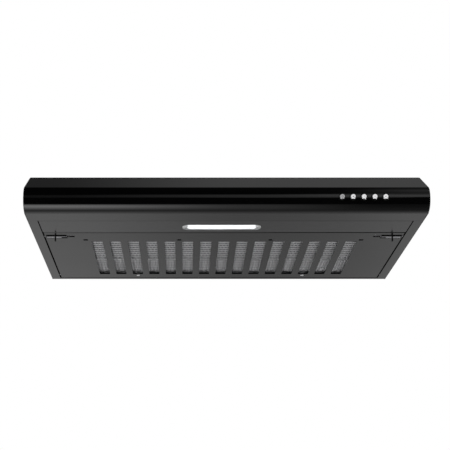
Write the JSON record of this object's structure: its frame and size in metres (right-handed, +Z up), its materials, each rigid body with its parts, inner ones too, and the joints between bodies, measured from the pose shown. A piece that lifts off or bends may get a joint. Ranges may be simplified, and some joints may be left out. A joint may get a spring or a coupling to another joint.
{
  "type": "under cabinet range hood",
  "caption": "Slim black under-cabinet cooker hood with a bull-nosed front, push buttons, a light bar, a hinged slotted filter grille, a blower and a round top outlet.",
  "frame": {"origin": "centre of the flat top face, which lies against the underside of the cabinet", "axes": "+Z up into the cabinet, +X to the right as seen from the front, -Y towards the cook"},
  "size_m": [0.6, 0.4825, 0.1275],
  "materials": {
    "painted_steel": "smooth semi-gloss black powder coat",
    "clear_lens": "clear moulded lens",
    "opal_diffuser": "opal diffuser",
    "white_plastic": "moulded white plastic",
    "lamp_board": "white circuit board",
    "zinc_steel": "zinc-plated steel",
    "filter_aluminium": "expanded and folded aluminium",
    "black_plastic": "moulded black plastic",
    "grey_plastic": "moulded grey plastic",
    "bright_button": "bright satin metal",
    "wire_sleeve": "sleeved wiring"
  },
  "bodies": {
    "canopy": {"top_shell": "painted_steel", "front_fascia": "painted_steel", "side_panel_left": "painted_steel", "side_panel_right": "painted_steel", "light_panel": "painted_steel", "light_lens": "clear_lens", "light_diffuser": "opal_diffuser", "light_housing": "white_plastic", "terminal_block": "white_plastic", "led_driver": "white_plastic", "capacitor": "white_plastic", "led_board": "lamp_board", "hinge_bracket_left": "zinc_steel", "hinge_bracket_right": "zinc_steel", "motor_body": "zinc_steel", "flap_pin": "zinc_steel", "switch_bracket": "zinc_steel", "capacitor_clip": "zinc_steel", "light_screw_left": "zinc_steel", "light_screw_right": "zinc_steel", "duct_collar": "black_plastic", "switch_block": "black_plastic", "terminal_box": "black_plastic", "terminal_lid": "black_plastic", "cable_gland": "black_plastic", "blower_housing": "grey_plastic", "inlet_plate": "grey_plastic", "motor_lead": "wire_sleeve", "lamp_lead": "wire_sleeve", "switch_lead": "wire_sleeve"},
    "grille": {"grille_panel": "painted_steel", "filter_pad": "filter_aluminium", "filter_frame": "filter_aluminium", "filter_rod": "zinc_steel", "filter_clip_left": "zinc_steel", "filter_clip_right": "zinc_steel", "latch_guide_left": "zinc_steel", "latch_guide_right": "zinc_steel", "latch_spring_left": "zinc_steel", "latch_spring_right": "zinc_steel", "hinge_pin_left": "zinc_steel", "hinge_pin_right": "zinc_steel"},
    "latch_left": {"latch_bolt_left": "zinc_steel", "latch_tab_left": "black_plastic"},
    "latch_right": {"latch_bolt_right": "zinc_steel", "latch_tab_right": "black_plastic"},
    "impeller": {"impeller": "black_plastic", "impeller_nut": "zinc_steel", "motor_shaft": "zinc_steel"},
    "flap_left": {"flap_left": "black_plastic"},
    "flap_right": {"flap_right": "black_plastic"},
    "button_light": {"button_light": "bright_button"},
    "button_off": {"button_off": "bright_button"},
    "button_low": {"button_low": "bright_button"},
    "button_medium": {"button_medium": "bright_button"},
    "button_high": {"button_high": "bright_button"}
  },
  "joints": [
    {"name": "grille_swing", "type": "hinge", "parent": "canopy", "child": "grille", "pos_m": [0, 0.222, -0.068], "axis": [1, 0, 0], "range_deg": [0, 90]},
    {"name": "latch_left_slide", "type": "slide", "parent": "grille", "child": "latch_left", "axis": [1, 0, 0], "range_m": [0, 0.009], "stiffness_N_per_m": 200, "deforming": ["latch_spring_left"]},
    {"name": "latch_right_slide", "type": "slide", "parent": "grille", "child": "latch_right", "axis": [-1, 0, 0], "range_m": [0, 0.009], "stiffness_N_per_m": 200, "deforming": ["latch_spring_right"]},
    {"name": "impeller_spin", "type": "hinge", "parent": "canopy", "child": "impeller", "pos_m": [-0.054, 0.005, -0.03], "axis": [0, 0, 1], "continuous": true},
    {"name": "flap_left_swing", "type": "hinge", "parent": "canopy", "child": "flap_left", "pos_m": [0, 0.15, 0.0055], "axis": [0, 1, 0], "range_deg": [0, 75]},
    {"name": "flap_right_swing", "type": "hinge", "parent": "canopy", "child": "flap_right", "pos_m": [0, 0.15, 0.0055], "axis": [0, -1, 0], "range_deg": [0, 75]},
    {"name": "button_light_press", "type": "slide", "parent": "canopy", "child": "button_light", "axis": [0, 1, 0], "range_m": [0, 0.0025], "stiffness_N_per_m": 300},
    {"name": "button_off_press", "type": "slide", "parent": "canopy", "child": "button_off", "axis": [0, 1, 0], "range_m": [0, 0.0025], "stiffness_N_per_m": 300},
    {"name": "button_low_press", "type": "slide", "parent": "canopy", "child": "button_low", "axis": [0, 1, 0], "range_m": [0, 0.0025], "stiffness_N_per_m": 300},
    {"name": "button_medium_press", "type": "slide", "parent": "canopy", "child": "button_medium", "axis": [0, 1, 0], "range_m": [0, 0.0025], "stiffness_N_per_m": 300},
    {"name": "button_high_press", "type": "slide", "parent": "canopy", "child": "button_high", "axis": [0, 1, 0], "range_m": [0, 0.0025], "stiffness_N_per_m": 300}
  ]
}
